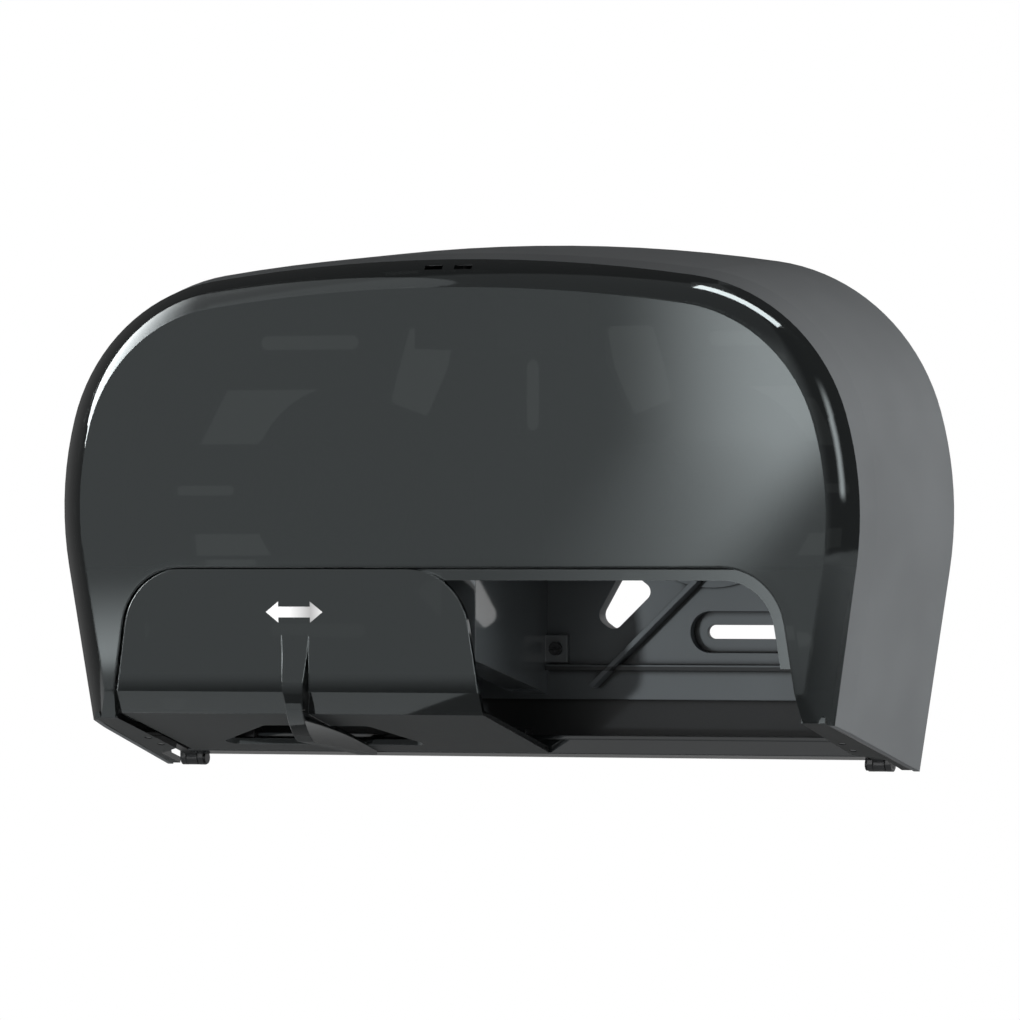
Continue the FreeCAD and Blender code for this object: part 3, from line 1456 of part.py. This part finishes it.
def make_all():
    make_back_plate()
    make_divider()
    make_lock_housing()
    make_latch()
    make_latch_spring()
    for side, sign in (("left", -1), ("right", 1)):
        make_spindle(side + "_spindle", sign)
        make_brake(side + "_brake", sign)
        make_hub(side + "_hub", sign)
        make_hub_cap(side + "_hub_cap", sign)
        make_hinge_bracket(side + "_hinge_bracket", sign)
        make_hinge_pin(side + "_hinge_pin", sign)
        make_hinge_arm(side + "_hinge_arm", sign)
    make_all_screws()
    make_cover_frame()
    make_cover_window()
    make_lower_rail()
    make_catch()
    make_door()
    for side, sign in (("left", "-"), ("right", "+")):
        make_upper_glide(side + "_upper_glide", sign)
        make_lower_glide(side + "_lower_glide", sign)


def write_all():
    """Check every object and every sub-part, then write one file for each sub-part."""
    doc.recompute()
    for item in doc.Objects:
        if "Invalid" in item.State or "Error" in item.State:
            raise ValueError("%s is %s" % (item.Name, item.State))
    for item in sub_parts:
        if item.Shape.isNull() or not item.Shape.isValid():
            raise ValueError("%s has no valid shape" % item.Label)
    os.makedirs("parts", exist_ok=True)
    for item in sub_parts:
        item.Shape.exportStep("parts/%s.step" % item.Label)
        print(item.Label, len(item.Shape.Solids), round(item.Shape.Volume))


make_all()
write_all()
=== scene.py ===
"""Looks of a twin bath tissue dispenser: smoked cover and door, grey frame, moulded inner parts."""
import json
import math

import bmesh
import bpy
from mathutils import Matrix, Vector


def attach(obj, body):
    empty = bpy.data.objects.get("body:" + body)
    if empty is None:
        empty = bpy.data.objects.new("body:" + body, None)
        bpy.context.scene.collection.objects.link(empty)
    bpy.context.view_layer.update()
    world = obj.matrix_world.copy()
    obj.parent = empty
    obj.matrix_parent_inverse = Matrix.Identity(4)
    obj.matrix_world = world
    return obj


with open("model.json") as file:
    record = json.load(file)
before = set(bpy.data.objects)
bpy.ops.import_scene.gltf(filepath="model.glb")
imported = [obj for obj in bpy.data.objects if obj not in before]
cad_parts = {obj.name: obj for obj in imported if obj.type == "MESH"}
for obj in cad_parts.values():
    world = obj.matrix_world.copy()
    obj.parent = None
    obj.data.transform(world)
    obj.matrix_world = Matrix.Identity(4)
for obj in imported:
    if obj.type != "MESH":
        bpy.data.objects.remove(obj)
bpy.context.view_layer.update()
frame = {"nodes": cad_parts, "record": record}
nodes = frame["nodes"]

# Places on the part, in metres. The cover's front plane leans forward at the top.
FRONT_LEAN = math.radians(2.2)
FRONT_DEPTH = 0.122008  # at z = 0
MOUTH_TOP = -0.0404
PANEL_CREST = 0.03  # the height where the bowed panel stands furthest forward
DOOR_ROLL_TOP = -0.085  # where the door's face starts to roll back
BEAD_MIDDLE, BEAD_HALF = -0.092, 0.0010
WEB_TOP = -0.1076
ARROW_X, ARROW_Z, ARROW_HALF = -0.0830, -0.0630, 0.0155

# Shares of a colour
TONE_STOPS = (0.3, 0.7)
DRIFT = (0.93, 1.07)
SHADED = 0.2
WEB_SHADE = 0.12
REAR_TINT = 0.32  # of the cover, behind its panel

# The smoked pieces: slow waves, matt places, and the strip's turn to the right
WAVE_HEIGHT = 0.00002
ETCHED_ROUGHNESS = 0.6
RIM_ROUGHNESS = 0.85
STRIP_TURN = math.radians(1.8)

# Strengths of the world: white round about, and what diffuse surfaces get of it
OPEN_SKY = 1.05
AMBIENT = 0.2


def front_y(z):
    return -FRONT_DEPTH - z * math.tan(FRONT_LEAN)


# Materials

class Nodes:
    """A node tree with short ways to add its nodes."""

    def __init__(self, tree):
        self.tree = tree

    def add(self, kind, **inputs):
        node = self.tree.nodes.new(kind)
        for key, value in inputs.items():
            if hasattr(node, key):
                setattr(node, key, value)
            else:
                self.feed(node.inputs[key.replace("_", " ")], value)
        return node

    def feed(self, socket, value):
        if isinstance(value, bpy.types.NodeSocket):
            self.tree.links.new(value, socket)
        else:
            socket.default_value = value

    def math(self, operation, *values):
        node = self.add("ShaderNodeMath", operation=operation)
        for socket, value in zip(node.inputs, values):
            self.feed(socket, value)
        return node.outputs["Value"]

    def product(self, first, *others):
        for other in others:
            first = self.math("MULTIPLY", first, other)
        return first

    def axes(self, vector):
        return self.add("ShaderNodeSeparateXYZ", Vector=vector).outputs

    def span(self, value, start, end, low=0.0, high=1.0, smooth=True):
        """The value's way from start to end, as a number from low to high."""
        node = self.add("ShaderNodeMapRange", Value=value, From_Min=start, From_Max=end,
                        To_Min=low, To_Max=high)
        node.interpolation_type = "SMOOTHSTEP" if smooth else "LINEAR"
        return node.outputs["Result"]

    def between(self, share, low, high):
        return self.span(share, 0.0, 1.0, low, high, smooth=False)

    def arc(self, value, start, end):
        """A span between two angles in degrees."""
        return self.span(value, math.radians(start), math.radians(end))

    def window(self, value, opens, full, fades, shut):
        """One from full to fades, and nothing before opens or after shut."""
        return self.product(self.span(value, opens, full), self.span(value, shut, fades))


class Finish(Nodes):
    """A material, its Principled shader and the point it shades, in the part's own frame."""

    def __init__(self, name):
        self.material = bpy.data.materials.new(name)
        self.material.use_nodes = True
        super().__init__(self.material.node_tree)
        self.shader = self.tree.nodes["Principled BSDF"]
        self.place = self.add("ShaderNodeTexCoord").outputs["Object"]

    def set(self, **inputs):
        for key, value in inputs.items():
            self.feed(self.shader.inputs[key.replace("_", " ")], value)

    def noise(self, scale, detail=2.0):
        noise = self.add("ShaderNodeTexNoise", Vector=self.place, Scale=scale, Detail=detail)
        return noise.outputs["Fac"]

    def two_tones(self, share, dark, light):
        ramp = self.add("ShaderNodeValToRGB", Fac=share)
        stops = ramp.color_ramp.elements
        for stop, position, colour in zip(stops, TONE_STOPS, (dark, light)):
            stop.position = position
            stop.color = (*colour, 1)
        return ramp.outputs["Color"]

    def scaled(self, colour, share):
        node = self.add("ShaderNodeVectorMath", operation="SCALE", Vector=colour, Scale=share)
        return node.outputs["Vector"]

    def relief(self, height, strength, distance, edge_radius, share=None):
        """Bump over edges that are rounded by edge_radius, or by a share of it."""
        rounded = self.add("ShaderNodeBevel", samples=6, Radius=edge_radius)
        if share is not None:
            self.feed(rounded.inputs["Radius"], self.math("MULTIPLY", share, edge_radius))
        bump = self.add("ShaderNodeBump", Height=height, Strength=strength, Distance=distance,
                        Normal=rounded.outputs["Normal"])
        self.set(Normal=bump.outputs["Normal"])


class Smoked(Finish):
    """Polished smoked plastic, dark enough that only what is bright shows through it.

    Its face has slow waves, and its undersides are etched matt. Bows that are too slight for the
    solids are taken off its height.
    """

    def __init__(self, name):
        super().__init__(name)
        self.point = self.axes(self.place)
        self.facing = self.axes(self.add("ShaderNodeTexCoord").outputs["Normal"])
        self.flow = self.noise(scale=9.0, detail=1.0)
        self.height = self.math("MULTIPLY", self.flow, WAVE_HEIGHT)
        polish = self.between(self.noise(scale=260.0, detail=4.0), 0.03, 0.06)
        etched = self.span(self.facing["Z"], -0.75, -0.85)
        self.roughness = self.math("ADD", polish, self.math("MULTIPLY", etched, ETCHED_ROUGHNESS))
        self.set(Transmission_Weight=1.0, IOR=1.53, Specular_Tint=(0.90, 1.0, 1.02, 1))

    def curve(self, way, radius):
        """The drop of a face that curves back with a radius, a way from where it is level."""
        square = self.math("POWER", self.math("ABSOLUTE", way), 2.0)
        return self.math("MULTIPLY", square, 0.5 / radius)

    def take_off(self, *drops):
        for drop in drops:
            self.height = self.math("SUBTRACT", self.height, drop)

    def complete(self, tint, edge_radius, share=None):
        self.set(Base_Color=tint, Roughness=self.roughness)
        self.relief(self.height, strength=1.0, distance=1.0, edge_radius=edge_radius, share=share)


def moulded_plastic(name, colour, roughness, grain_size, grain_depth, edge_radius, gloss=0.5):
    """Moulded plastic: a spark-eroded grain in the bump and roughness, and slow colour drift."""
    finish = Finish(name)
    grain = finish.noise(scale=1 / grain_size, detail=3.0)
    drift = finish.noise(scale=14.0)
    dark, light = ([channel * share for channel in colour] for share in DRIFT)
    spread = min(0.06, roughness / 2)
    finish.set(Base_Color=finish.two_tones(drift, dark, light),
               Roughness=finish.between(grain, roughness - spread, roughness + spread),
               Specular_IOR_Level=gloss)
    finish.relief(grain, strength=0.35, distance=grain_depth, edge_radius=edge_radius)
    return finish


def plate_plastic_painted_shade(name, colour):
    """The back plate's plastic, with painted shade in its wells and recesses, a painted shadow
    along its bead and painted shade on the web below.
    """
    finish = moulded_plastic(name, colour, roughness=0.5, grain_size=0.0009, grain_depth=0.00005,
                             edge_radius=0.0008, gloss=0.35)
    tone = finish.shader.inputs["Base Color"].links[0].from_socket
    # Painted shade: ambient occlusion darkens the plate's colour in its wells, at the feet of its
    # ribs and in other recesses.
    hidden = finish.add("ShaderNodeAmbientOcclusion", samples=8, only_local=True, Distance=0.005)
    recess_shade_share = finish.span(hidden.outputs["AO"], 0.58, 0.82, SHADED, 1.0)
    z = finish.axes(finish.place)["Z"]
    # Painted shade: the web below WEB_TOP is darkened to WEB_SHADE of the plate's colour.
    web_shade_share = finish.span(z, WEB_TOP - 0.0006, WEB_TOP + 0.0002, WEB_SHADE, 1.0)
    # Painted shadow: a dark line along the bead, BEAD_HALF either side of its middle.
    from_bead = finish.math("ABSOLUTE", finish.math("SUBTRACT", z, BEAD_MIDDLE))
    bead_shadow_share = finish.span(from_bead, BEAD_HALF, BEAD_HALF + 0.0003, SHADED, 1.0)
    share = finish.product(recess_shade_share, web_shade_share, bead_shadow_share)
    finish.set(Base_Color=finish.scaled(tone, share))
    return finish


def smoked_cover(name):
    """The cover, with a bowed panel, a crowned band and a strip that the door rides on.

    The strip lies about 3 mm behind the panel and turns a little to the right. Its rim over the
    mouth is matt.
    """
    finish = Smoked(name)
    x, y, z = (finish.point[axis] for axis in "XYZ")
    lean_sin, lean_cos = math.sin(FRONT_LEAN), math.cos(FRONT_LEAN)
    level = finish.math("MULTIPLY_ADD", y, lean_cos, FRONT_DEPTH * lean_cos)
    behind = finish.math("ADD", level, finish.math("MULTIPLY", z, lean_sin))

    faces_front = finish.span(finish.facing["Y"], -0.97, -0.99)
    strip = finish.product(finish.window(behind, 0.0022, 0.0026, 0.0040, 0.0044), faces_front)
    off_strip = finish.math("SUBTRACT", 1.0, strip)
    from_crest = finish.math("SUBTRACT", z, PANEL_CREST)
    across = finish.product(finish.curve(x, radius=3.0), finish.span(strip, 0.0, 1.0, 1.0, 0.2))
    rise = finish.product(finish.curve(from_crest, radius=2.0), off_strip)
    turn = finish.product(x, strip, math.tan(STRIP_TURN))
    band_slope, band_middle = 1.6, 0.0088
    down_band = finish.math("MULTIPLY", finish.math("MAXIMUM", behind, 0.0), band_slope)
    crown = finish.curve(finish.math("SUBTRACT", down_band, band_middle), radius=0.042)
    finish.take_off(across, rise, turn, crown)

    over_mouth = finish.window(z, MOUTH_TOP - 0.0016, MOUTH_TOP - 0.0010,
                               MOUTH_TOP + 0.0002, MOUTH_TOP + 0.0006)
    matt = finish.product(strip, over_mouth, RIM_ROUGHNESS)
    finish.roughness = finish.math("ADD", finish.roughness, matt)

    tint = finish.two_tones(finish.flow, (0.0160, 0.0180, 0.0175), (0.0186, 0.0206, 0.0200))
    tint = finish.scaled(tint, finish.span(behind, 0.0004, 0.0012, 1.0, REAR_TINT))
    low_panel = finish.product(finish.span(z, -0.028, -0.032),
                               finish.span(behind, 0.0008, 0.0004))
    finish.complete(tint, edge_radius=0.0016, share=low_panel)
    return finish


def smoked_door(name):
    """The door, with a face that rolls back towards its bent edge."""
    finish = Smoked(name)
    below = finish.math("SUBTRACT", DOOR_ROLL_TOP, finish.point["Z"])
    finish.take_off(finish.curve(finish.math("MAXIMUM", below, 0.0), radius=0.16))
    tint = finish.two_tones(finish.flow, (0.0030, 0.0034, 0.0033), (0.0038, 0.0042, 0.0041))
    finish.complete(tint, edge_radius=0.0006)
    return finish


def plated_steel(name, dark, light):
    finish = Finish(name)
    brushed = finish.noise(scale=900.0, detail=3.0)
    finish.set(Base_Color=finish.two_tones(brushed, dark, light), Metallic=1.0,
               Roughness=finish.between(brushed, 0.25, 0.45))
    finish.relief(brushed, strength=0.2, distance=0.00002, edge_radius=0.0003)
    return finish


def printed_ink(name):
    """White ink with the faint screen of a pad print, and a painted sheen: it fades to grey and
    lifts at one tip.
    """
    finish = Finish(name)
    screen = finish.noise(scale=1500.0)
    x = finish.axes(finish.place)["X"]
    # Painted sheen of the metallic print: grey towards one head, lighter again at its tip.
    tip_start = ARROW_X + 0.009
    fade = finish.span(x, ARROW_X - 0.004, tip_start, 0.95, 0.42, smooth=False)
    tip = finish.span(x, tip_start, ARROW_X + ARROW_HALF, 0.0, 0.35, smooth=False)
    grey = finish.math("ADD", fade, tip)
    ink = finish.add("ShaderNodeCombineColor", Red=grey, Green=grey, Blue=grey)
    finish.set(Base_Color=ink.outputs["Color"], Roughness=finish.between(screen, 0.4, 0.6))
    finish.relief(screen, strength=0.2, distance=0.00001, edge_radius=0.0001)
    return finish


FINISHES = {
    "frame": moulded_plastic("grey_frame", (0.150, 0.158, 0.163), roughness=0.7,
                             grain_size=0.0009, grain_depth=0.00006, edge_radius=0.0010,
                             gloss=0.05),
    "plate": plate_plastic_painted_shade("grey_plate", (0.086, 0.096, 0.102)),
    "fitting": moulded_plastic("black_fitting", (0.016, 0.017, 0.018), roughness=0.30,
                               grain_size=0.0008, grain_depth=0.00003, edge_radius=0.0006),
    "hub": moulded_plastic("dark_hub", (0.030, 0.032, 0.033), roughness=0.42,
                           grain_size=0.0008, grain_depth=0.00004, edge_radius=0.0008),
    "brake": moulded_plastic("brake_pad", (0.020, 0.020, 0.021), roughness=0.85,
                             grain_size=0.0012, grain_depth=0.0002, edge_radius=0.0004),
    "smoked": smoked_door("smoked_sheet"),
    "steel": plated_steel("plated_steel", (0.42, 0.43, 0.44), (0.66, 0.67, 0.68)),
}
for part in frame["record"]["subparts"]:
    node = nodes[part["node"]]
    node.data.materials.clear()
    node.data.materials.append(FINISHES[part["material_slot"]].material)

# Pieces that look unlike the rest of their slot
nodes["cover_window"].data.materials[0] = smoked_cover("smoked_cover").material
GLOSS_COLOURS = {"centre_divider": (0.100, 0.112, 0.118), "lower_rail": (0.014, 0.016, 0.017)}
for name, colour in GLOSS_COLOURS.items():
    finish = moulded_plastic("gloss_" + name, colour, roughness=0.06, grain_size=0.0015,
                             grain_depth=0.000004, edge_radius=0.0008)
    nodes[name].data.materials[0] = finish.material
blackened = plated_steel("blackened_steel", (0.020, 0.021, 0.022), (0.045, 0.046, 0.048))
for name in ("divider_screws", "left_hinge_pin", "right_hinge_pin"):
    nodes[name].data.materials[0] = blackened.material


# Pieces

def add_object(name, data):
    item = bpy.data.objects.new(name, data)
    bpy.context.scene.collection.objects.link(item)
    return item


def add_mesh(name, shape):
    """A mesh object of a bmesh shape, which is freed."""
    mesh = bpy.data.meshes.new(name)
    shape.to_mesh(mesh)
    shape.free()
    return add_object(name, mesh)


def make_double_arrow():
    """The sign for sliding both ways, printed on the door's face."""
    half, neck, head, stem = ARROW_HALF, 0.0086, 0.0053, 0.0027
    ink_depth = 0.00012
    corners = [(-half, 0), (-neck, head), (-neck, stem), (neck, stem), (neck, head), (half, 0),
               (neck, -head), (neck, -stem), (-neck, -stem), (-neck, -head)]
    shape = bmesh.new()
    rim = [shape.verts.new((ARROW_X + x, front_y(ARROW_Z + z), ARROW_Z + z)) for x, z in corners]
    face = shape.faces.new(rim)
    raised = bmesh.ops.extrude_face_region(shape, geom=[face])["geom"]
    raised = [item for item in raised if isinstance(item, bmesh.types.BMVert)]
    out = Vector((0, -math.cos(FRONT_LEAN), -math.sin(FRONT_LEAN))) * ink_depth
    bmesh.ops.translate(shape, vec=out, verts=raised)
    bmesh.ops.recalc_face_normals(shape, faces=shape.faces)
    arrow = add_mesh("double_arrow", shape)
    edges = arrow.modifiers.new("soft_edge", "BEVEL")
    edges.width = ink_depth / 2
    edges.segments = 2
    arrow.data.materials.append(printed_ink("white_print").material)
    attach(arrow, "sliding_door")


make_double_arrow()


# Stage, light and camera

def make_camera():
    data = bpy.data.cameras.new("camera")
    data.sensor_width = 36.0
    data.lens = 291.0
    data.shift_x = -0.02706
    data.shift_y = 0.04314
    data.clip_end = 60.0
    camera = add_object("camera", data)
    camera.location = (1.5733, -3.8942, -0.034)
    camera.rotation_euler = (math.radians(90), 0, math.radians(22))
    bpy.context.scene.camera = camera


def make_stage():
    """A pale floor well below the part, which hangs as on its wall. It is white further off."""
    floor_z = -0.45
    disc = bmesh.new()
    bmesh.ops.create_circle(disc, cap_ends=True, radius=2.0, segments=96,
                            matrix=Matrix.Translation((0, 0, floor_z)))
    floor = add_mesh("floor", disc)
    finish = Finish("pale_floor")
    finish.set(Base_Color=(0.82, 0.82, 0.82, 1), Roughness=0.8)
    path = finish.add("ShaderNodeLightPath").outputs
    point = finish.axes(finish.place)
    flat = finish.add("ShaderNodeCombineXYZ", X=point["X"], Y=point["Y"]).outputs["Vector"]
    length = finish.add("ShaderNodeVectorMath", operation="LENGTH", Vector=flat)
    far = length.outputs["Value"]
    seen = finish.product(path["Is Camera Ray"], finish.span(far, 0.8, 1.9, 0.55, 1.0))
    mirrored = finish.math("MAXIMUM", path["Is Glossy Ray"], path["Is Transmission Ray"])
    mirrored = finish.product(mirrored, finish.span(far, 1.2, 1.95))
    white = finish.add("ShaderNodeEmission", Strength=1.0)
    mix = finish.add("ShaderNodeMixShader", Fac=finish.math("MAXIMUM", seen, mirrored))
    finish.feed(mix.inputs[1], finish.shader.outputs["BSDF"])
    finish.feed(mix.inputs[2], white.outputs["Emission"])
    finish.feed(finish.tree.nodes["Material Output"].inputs["Surface"], mix.outputs["Shader"])
    floor.data.materials.append(finish.material)


def make_world():
    """White round about. What is mirrored has dark flags in it, and bright glows.

    Angles are in degrees, to the left of straight ahead and up.
    """
    world = bpy.data.worlds.new("studio")
    bpy.context.scene.world = world
    world.use_nodes = True
    sky = Nodes(world.node_tree)
    path = sky.add("ShaderNodeLightPath").outputs
    ray = sky.axes(sky.add("ShaderNodeTexCoord").outputs["Generated"])
    ahead = sky.math("MULTIPLY", ray["Y"], -1.0)
    left = sky.math("ARCTAN2", sky.math("MULTIPLY", ray["X"], -1.0), ahead)
    up = sky.math("ARCSINE", ray["Z"])

    right_flag = sky.product(sky.arc(left, -30, -50), sky.arc(left, -135, -112))
    left_flag = sky.product(sky.arc(left, 44, 62), sky.arc(left, 179, 168))
    top_flag = sky.arc(up, 30, 50)
    rear_flag = sky.product(sky.span(ray["Y"], 0.6, 0.75), sky.arc(up, -0.6, -1.0))
    level = OPEN_SKY
    for flag, depth in ((right_flag, 0.75), (left_flag, 0.82), (top_flag, 0.55), (rear_flag, 0.8)):
        flagged = sky.math("SUBTRACT", OPEN_SKY, sky.math("MULTIPLY", flag, depth))
        level = sky.math("MINIMUM", level, flagged)

    # A streak along the cover's right edge
    off_streak = sky.math("ABSOLUTE", sky.math("ADD", left, math.radians(64)))
    streak = sky.product(sky.arc(off_streak, 6, 0), sky.arc(up, -3.2, -0.6), sky.arc(up, 34, 16))

    # The soft patch on the panel's right. Its lower right corner is cut off on a slant, and its
    # left edge grows softer further down.
    slant = 1.375
    corner = sky.math("MULTIPLY_ADD", left, slant, math.radians(4.9 - slant * 11.4))
    corner = sky.math("ADD", corner, up)
    lower = sky.math("MINIMUM", sky.math("ADD", up, math.radians(3.6)), 0.0)
    start = sky.math("SUBTRACT", math.radians(18.3), sky.math("MULTIPLY", lower, 0.69))
    end = sky.math("ADD", math.radians(13.2), sky.math("MULTIPLY", lower, 1.26))
    patch = sky.product(sky.span(left, start, end), sky.arc(corner, 0, 3.9),
                        sky.arc(left, -12, 0), sky.arc(up, 22, 8))

    # A low glow on the cover's left leg
    low = sky.product(sky.arc(up, -7.6, -10.7), sky.arc(up, -11.0, -10.3),
                      sky.arc(left, 27, 30), sky.arc(left, 42, 38))
    for glow, gain in ((streak, 6.0), (patch, 5.0), (low, 4.0)):
        level = sky.math("ADD", level, sky.math("MULTIPLY", glow, gain))

    mirrored = sky.product(path["Is Glossy Ray"], sky.math("SUBTRACT", level, AMBIENT))
    seen = sky.math("MAXIMUM", path["Is Camera Ray"], path["Is Transmission Ray"])
    clear = sky.math("MULTIPLY", seen, 1.0 - AMBIENT)
    strength = sky.math("ADD", sky.math("MAXIMUM", mirrored, clear), AMBIENT)
    background = world.node_tree.nodes["Background"]
    background.inputs["Color"].default_value = (1, 1, 1, 1)
    sky.feed(background.inputs["Strength"], strength)


def soft_box(name, place, width, height, radiance, along=(0, 0, 1), shape="RECTANGLE"):
    """An area lamp aimed at the part, its height along a direction."""
    data = bpy.data.lights.new(name, "AREA")
    data.shape = shape
    data.size = width
    data.size_y = height
    area = width * height * (math.pi / 4 if shape == "ELLIPSE" else 1)
    data.energy = radiance * math.pi * area
    lamp = add_object(name, data)
    back = Vector(place).normalized()
    side = Vector(along).cross(back).normalized()
    turn = Matrix((side, back.cross(side), back)).transposed().to_4x4()
    lamp.matrix_world = Matrix.Translation(place) @ turn
    lamp.visible_camera = False
    return lamp


def fade_along(lamp, start, end, low):
    """Let a lamp fade along its height, from a share of it to another."""
    lamp.data.use_nodes = True
    glow = Nodes(lamp.data.node_tree)
    along = glow.axes(glow.add("ShaderNodeNewGeometry").outputs["Parametric"])["Y"]
    emission = lamp.data.node_tree.nodes["Emission"]
    glow.feed(emission.inputs["Strength"], glow.span(along, start, end, 1.0, low))


make_camera()
make_stage()
make_world()

# Lamps that light the part but aren't mirrored in it
right = soft_box("right_fill", (2.6, -0.2, 0.20), width=1.5, height=0.9, radiance=11.5)
front = soft_box("front", (-1.08, -2.72, -0.42), width=0.12, height=0.12, radiance=1570)
back = soft_box("back_fill", (-0.6, 2.6, 0.7), width=1.6, height=1.6, radiance=0.8)
for lamp in (right, front, back):
    lamp.visible_glossy = False
    lamp.visible_transmission = False

# Lamps that are only mirrored, in the smoked pieces or in the door alone
top = soft_box("top_strip", (0.485, -0.54, 1.83), width=0.19, height=1.16, radiance=17,
               along=(1.13, -0.24, -0.14))
left = soft_box("left_card", (-1.57, -0.69, 1.06), width=1.6, height=2.4, radiance=15,
                along=(0.46, -0.24, 0.60), shape="ELLIPSE")
fade_along(left, start=0.18, end=0.70, low=0.05)
low = soft_box("low_card", (-0.23, -0.115, -0.44), width=0.7, height=0.5, radiance=0.85,
               along=(0, 1, 0))
left_rim = soft_box("left_rim", (-1.77, -0.94, -0.10), width=0.9, height=1.4, radiance=14)
right_rim = soft_box("right_rim", (1.29, -1.53, -0.10), width=0.9, height=1.4, radiance=14)
polished = bpy.data.collections.new("polished")
sliding = bpy.data.collections.new("sliding")
for name in ("cover_window", "door"):
    polished.objects.link(nodes[name])
sliding.objects.link(nodes["door"])
for lamps, receivers in (((top, left, low), polished), ((left_rim, right_rim), sliding)):
    for lamp in lamps:
        lamp.visible_diffuse = False
        lamp.light_linking.receiver_collection = receivers
bpy.context.scene.view_settings.view_transform = "Standard"
